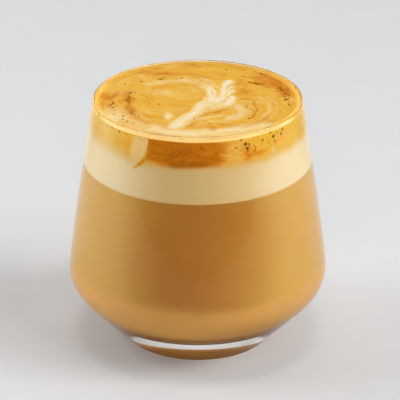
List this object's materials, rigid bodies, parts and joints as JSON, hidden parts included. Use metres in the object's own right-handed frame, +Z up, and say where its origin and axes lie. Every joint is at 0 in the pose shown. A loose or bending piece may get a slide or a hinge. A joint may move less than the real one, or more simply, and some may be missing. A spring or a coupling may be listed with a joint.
{
  "type": "flat white in a glass",
  "caption": "Milky coffee with a foam band and crema with a poured leaf, in a clear tapered glass with a rounded shoulder and a thick base.",
  "frame": {"origin": "centre of the circle the glass stands on", "axes": "+Z up, -Y towards the drinker as the poured leaf's stalk points, +X to the drinker's right"},
  "size_m": [0.0906, 0.0906, 0.088],
  "materials": {
    "glass": "clear, fire-polished",
    "coffee": "opaque milky liquid",
    "milk_foam": "fine wet foam",
    "crema": "marbled foam with small bubbles"
  },
  "bodies": {
    "root": {"glass": "glass", "coffee": "coffee", "milk_foam": "milk_foam", "crema": "crema"}
  },
  "joints": []
}
